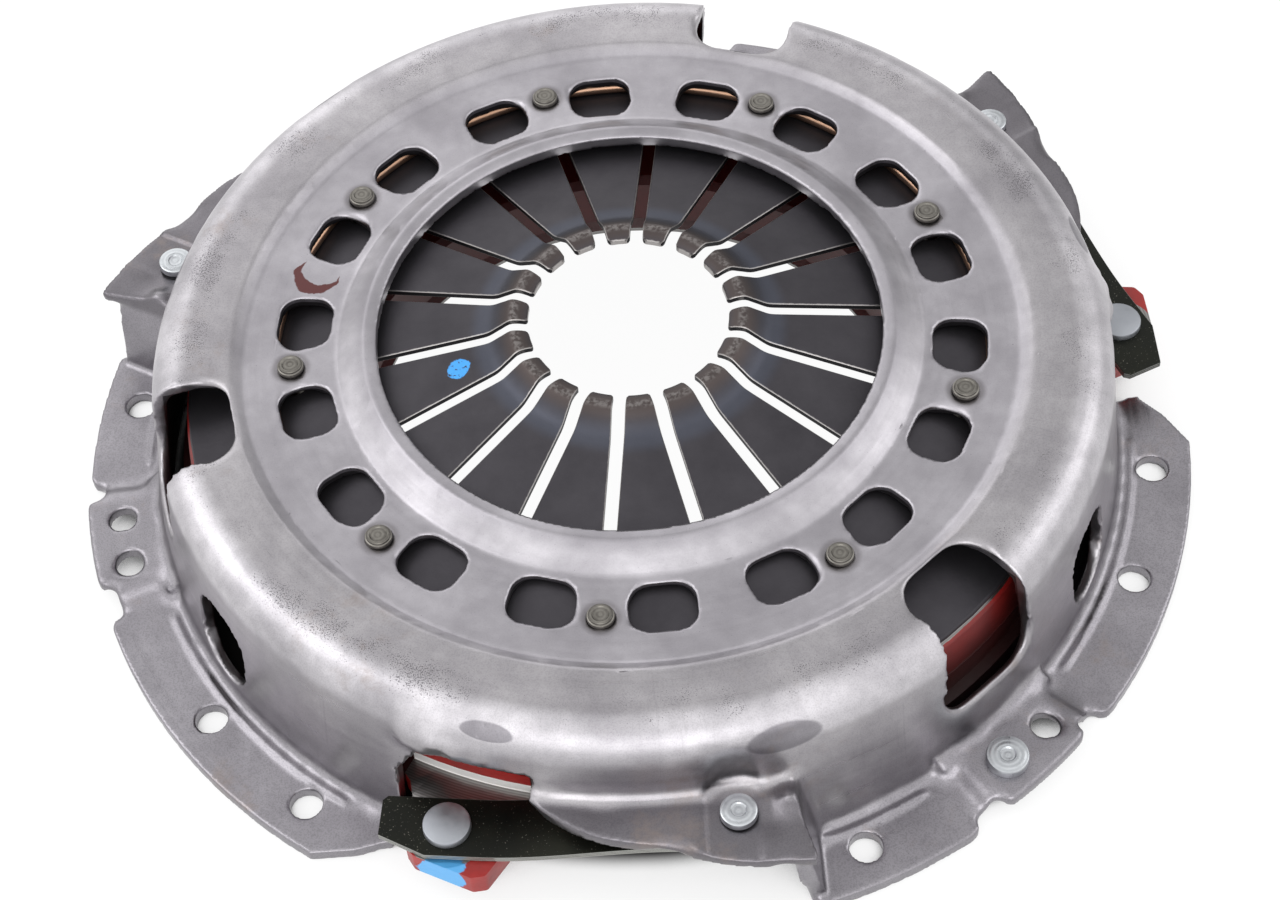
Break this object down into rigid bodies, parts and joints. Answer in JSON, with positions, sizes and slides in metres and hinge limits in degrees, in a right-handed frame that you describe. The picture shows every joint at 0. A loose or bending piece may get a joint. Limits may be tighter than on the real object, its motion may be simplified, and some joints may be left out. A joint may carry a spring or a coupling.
{
  "type": "clutch pressure plate",
  "caption": "Diaphragm-spring clutch pressure plate: pressed cover with a stepped bolting flange, finger spring on riveted fulcrum rings, cast plate hung on leaf straps.",
  "frame": {"origin": "on the shaft axis, in the mounting face (the underside of the bolting pads, which lies on the flywheel)", "axes": "+Z from the flywheel to the gearbox; +X and +Y in the mounting face; the fulcrum rivets start at 102.3 degrees counter-clockwise from +X"},
  "size_m": [0.3784, 0.3756, 0.0714],
  "materials": {
    "pressed_steel": "satin, bare pressed sheet",
    "spring_steel": "dark shot-peened spring steel",
    "wire": "drawn wire, coppery tint",
    "rivet_steel": "dull grey-brown",
    "cast_iron": "red primer, machined faces bare",
    "zinc_plated": "zinc plated",
    "blued_strap": "black oxide"
  },
  "bodies": {
    "cover": {"cover": "pressed_steel", "fulcrum_ring_upper": "wire", "fulcrum_ring_lower": "wire", "fulcrum_rivets": "rivet_steel", "balance_rivet": "zinc_plated", "strap_cover_rivet_1": "zinc_plated", "strap_cover_rivet_2": "zinc_plated", "strap_cover_rivet_3": "zinc_plated", "strap_1_leaf_1": "blued_strap", "strap_1_leaf_2": "blued_strap", "strap_1_leaf_3": "blued_strap", "strap_2_leaf_1": "blued_strap", "strap_2_leaf_2": "blued_strap", "strap_2_leaf_3": "blued_strap", "strap_3_leaf_1": "blued_strap", "strap_3_leaf_2": "blued_strap", "strap_3_leaf_3": "blued_strap"},
    "diaphragm_spring": {"diaphragm_spring": "spring_steel"},
    "pressure_plate": {"pressure_plate": "cast_iron", "strap_lug_rivet_1": "zinc_plated", "strap_lug_rivet_2": "zinc_plated", "strap_lug_rivet_3": "zinc_plated"}
  },
  "joints": [
    {"name": "release_travel", "type": "slide", "parent": "cover", "child": "diaphragm_spring", "axis": [0, 0, 1], "range_m": [-0.012, 0], "stiffness_N_per_m": 8000, "deforming": ["diaphragm_spring"]},
    {"name": "pressure_plate_lift", "type": "slide", "parent": "cover", "child": "pressure_plate", "axis": [0, 0, 1], "range_m": [0, 0.004], "deforming": ["strap_1_leaf_1", "strap_1_leaf_2", "strap_1_leaf_3", "strap_2_leaf_1", "strap_2_leaf_2", "strap_2_leaf_3", "strap_3_leaf_1", "strap_3_leaf_2", "strap_3_leaf_3"]}
  ],
  "couplings": [
    {"joint": "pressure_plate_lift", "follows": "release_travel", "ratio": -0.3169}
  ]
}
